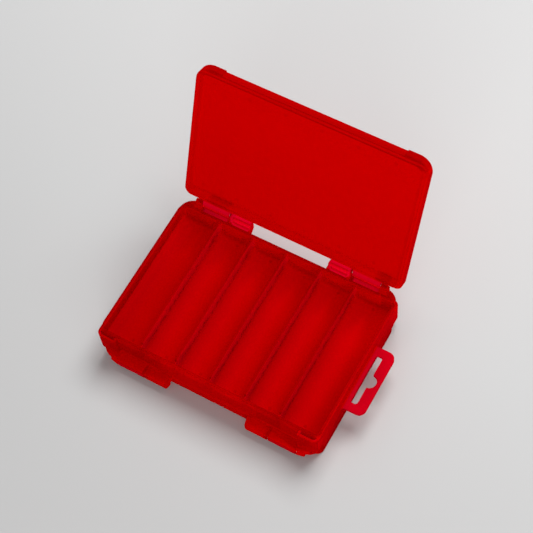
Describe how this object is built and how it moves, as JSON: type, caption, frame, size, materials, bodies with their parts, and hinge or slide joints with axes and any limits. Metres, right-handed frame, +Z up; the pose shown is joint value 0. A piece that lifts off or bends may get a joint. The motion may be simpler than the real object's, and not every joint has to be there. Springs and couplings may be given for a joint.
{
  "type": "lure box",
  "caption": "Two-sided fishing lure box in clear red plastic with troughs on both faces, a hinged lid on each face and a hang tab on one end.",
  "frame": {"origin": "centre of the underside between the two end walls, on the plane the shut lower lid rests on", "axes": "+Z up, +X towards the hang tab, +Y towards the hinges of the open upper lid"},
  "size_m": [0.1745, 0.1585, 0.1374],
  "materials": {
    "body_plastic": "gloss, tinted clear",
    "lid_plastic": "gloss, tinted clear",
    "pin_steel": "drawn wire"
  },
  "bodies": {
    "case": {"body": "body_plastic", "hinge_pin_upper_right": "pin_steel", "hinge_pin_upper_left": "pin_steel", "hinge_pin_lower_right": "pin_steel", "hinge_pin_lower_left": "pin_steel"},
    "upper_lid": {"upper_lid": "lid_plastic"},
    "lower_lid": {"lower_lid": "lid_plastic"}
  },
  "joints": [
    {"name": "upper_lid_hinge", "type": "hinge", "parent": "case", "child": "upper_lid", "pos_m": [0, 0.0572, 0.0338], "axis": [1, 0, 0], "range_deg": [0, 110.3]},
    {"name": "lower_lid_hinge", "type": "hinge", "parent": "case", "child": "lower_lid", "pos_m": [0, -0.0572, 0.0042], "axis": [1, 0, 0], "range_deg": [-110.3, 0]}
  ]
}
